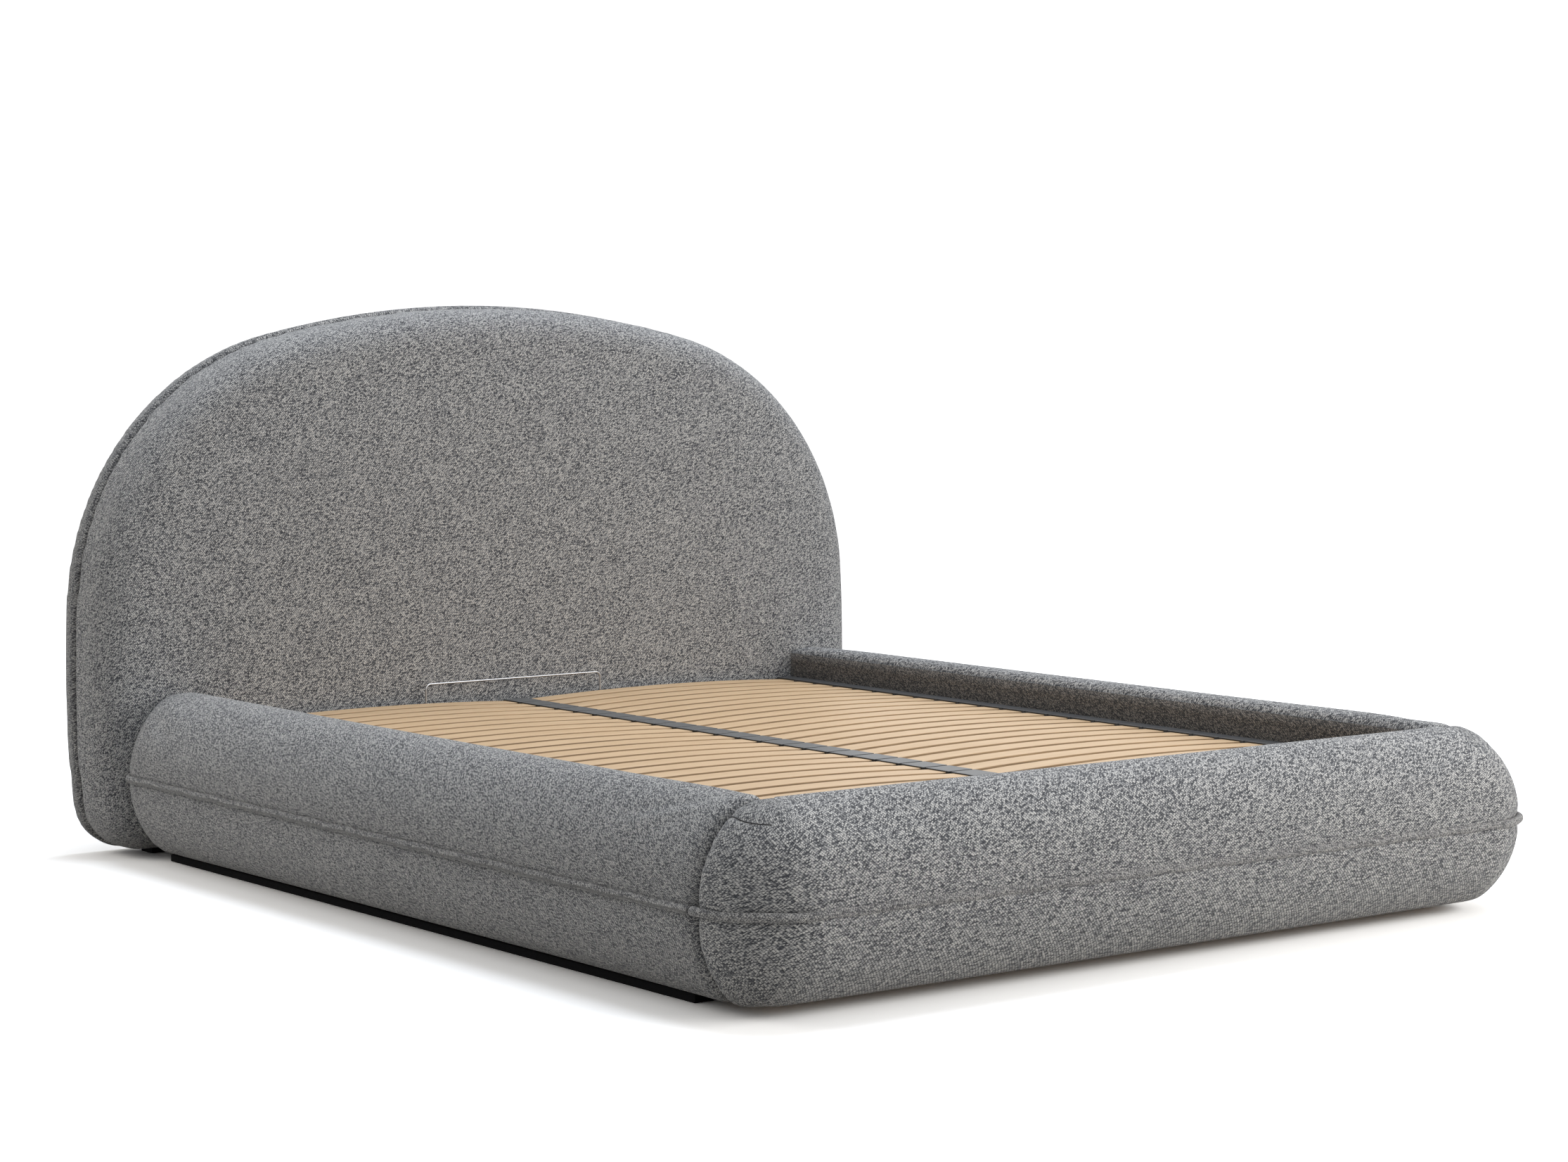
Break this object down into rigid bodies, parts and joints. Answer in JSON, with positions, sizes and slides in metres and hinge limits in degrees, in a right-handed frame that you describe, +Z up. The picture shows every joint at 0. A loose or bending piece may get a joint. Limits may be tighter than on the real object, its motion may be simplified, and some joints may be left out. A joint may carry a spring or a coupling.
{
  "type": "upholstered bed",
  "caption": "Upholstered double bed with a domed headboard, round padded rails and a slatted base that lifts at the foot end over a storage box.",
  "frame": {"origin": "on the floor, under the middle of the bed's overall width and length", "axes": "+X across the bed to the right seen from the foot end, +Y towards the headboard, +Z up"},
  "size_m": [2.035, 2.412, 1.1813],
  "materials": {
    "grey_upholstery": "mottled light and dark grey woven cloth, matte",
    "grey_piping": "the same cloth over cord, matte",
    "brown_grey_lining": "darker brownish grey woven cloth, matte",
    "black_back_cloth": "thin black non-woven dust cloth",
    "raw_panel": "raw particle board",
    "softwood": "planed pine",
    "box_floor": "dark laminated fibre board",
    "black_plinth": "matte black edge strip",
    "birch_slats": "pale laminated birch, satin",
    "grey_plastic": "moulded grey plastic, satin",
    "dark_plastic": "moulded dark plastic, matte",
    "rubber_buffer": "matte black rubber",
    "webbing": "dark woven webbing",
    "black_steel": "black powder coat, fine texture",
    "bright_steel": "bright drawn steel",
    "strut_black": "gloss black enamel",
    "zinc_steel": "zinc plated"
  },
  "bodies": {
    "bed_frame": {"bracket_bolts": "zinc_steel", "corner_brackets": "black_steel", "fixing_screws": "zinc_steel", "floor_beam": "softwood", "floor_panel_foot": "box_floor", "floor_panel_head": "box_floor", "foot_cleat": "softwood", "footboard_board": "raw_panel", "footboard_bolster": "grey_upholstery", "footboard_lining": "brown_grey_lining", "footboard_piping": "grey_piping", "headboard_back_board": "raw_panel", "headboard_back_cloth": "black_back_cloth", "headboard_band": "grey_upholstery", "headboard_feet": "black_plinth", "headboard_frame": "softwood", "headboard_front_board": "raw_panel", "headboard_padding": "grey_upholstery", "headboard_seam": "grey_piping", "lift_plate_left": "black_steel", "lift_plate_right": "black_steel", "pivot_pins": "zinc_steel", "pivot_washers": "dark_plastic", "rest_brackets": "black_steel", "rest_buffers": "rubber_buffer", "side_cleat_left": "softwood", "side_cleat_right": "softwood", "side_plinth_left": "black_plinth", "side_plinth_right": "black_plinth", "side_rail_board_left": "raw_panel", "side_rail_board_right": "raw_panel", "side_rail_bolster_left": "grey_upholstery", "side_rail_bolster_right": "grey_upholstery", "side_rail_lining_left": "brown_grey_lining", "side_rail_lining_right": "brown_grey_lining", "side_rail_piping_left": "grey_piping", "side_rail_piping_right": "grey_piping", "strut_studs_lower": "zinc_steel"},
    "lift_base": {"frame_centre_tube": "black_steel", "frame_cross_tubes": "black_steel", "frame_foot_tube": "black_steel", "frame_head_tube": "black_steel", "frame_side_tube_left": "black_steel", "frame_side_tube_right": "black_steel", "frame_tube_caps": "dark_plastic", "side_holders_left": "dark_plastic", "side_holders_right": "dark_plastic", "slats_left": "birch_slats", "slats_right": "birch_slats", "centre_holders": "grey_plastic", "mattress_stop": "bright_steel", "lift_ears": "black_steel", "strut_studs_upper": "zinc_steel", "pull_strap": "webbing"},
    "strut_cylinders": {"strut_cylinder_left": "strut_black", "strut_cylinder_right": "strut_black"},
    "strut_rods": {"strut_rod_left": "bright_steel", "strut_rod_right": "bright_steel"}
  },
  "joints": [
    {"name": "base_lift", "type": "hinge", "parent": "bed_frame", "child": "lift_base", "pos_m": [0, 0.846, 0.257], "axis": [-1, 0, 0], "range_deg": [0, 38]},
    {"name": "cylinder_swing", "type": "hinge", "parent": "bed_frame", "child": "strut_cylinders", "pos_m": [0, 0.74956, 0.05927], "axis": [-1, 0, 0], "range_deg": [0, 19]},
    {"name": "rod_swing", "type": "hinge", "parent": "lift_base", "child": "strut_rods", "pos_m": [0, 0.62764, 0.23019], "axis": [-1, 0, 0], "range_deg": [-19, 0]}
  ],
  "couplings": [
    {"joint": "cylinder_swing", "follows": "base_lift", "ratio": 0.5},
    {"joint": "rod_swing", "follows": "base_lift", "ratio": -0.5}
  ]
}
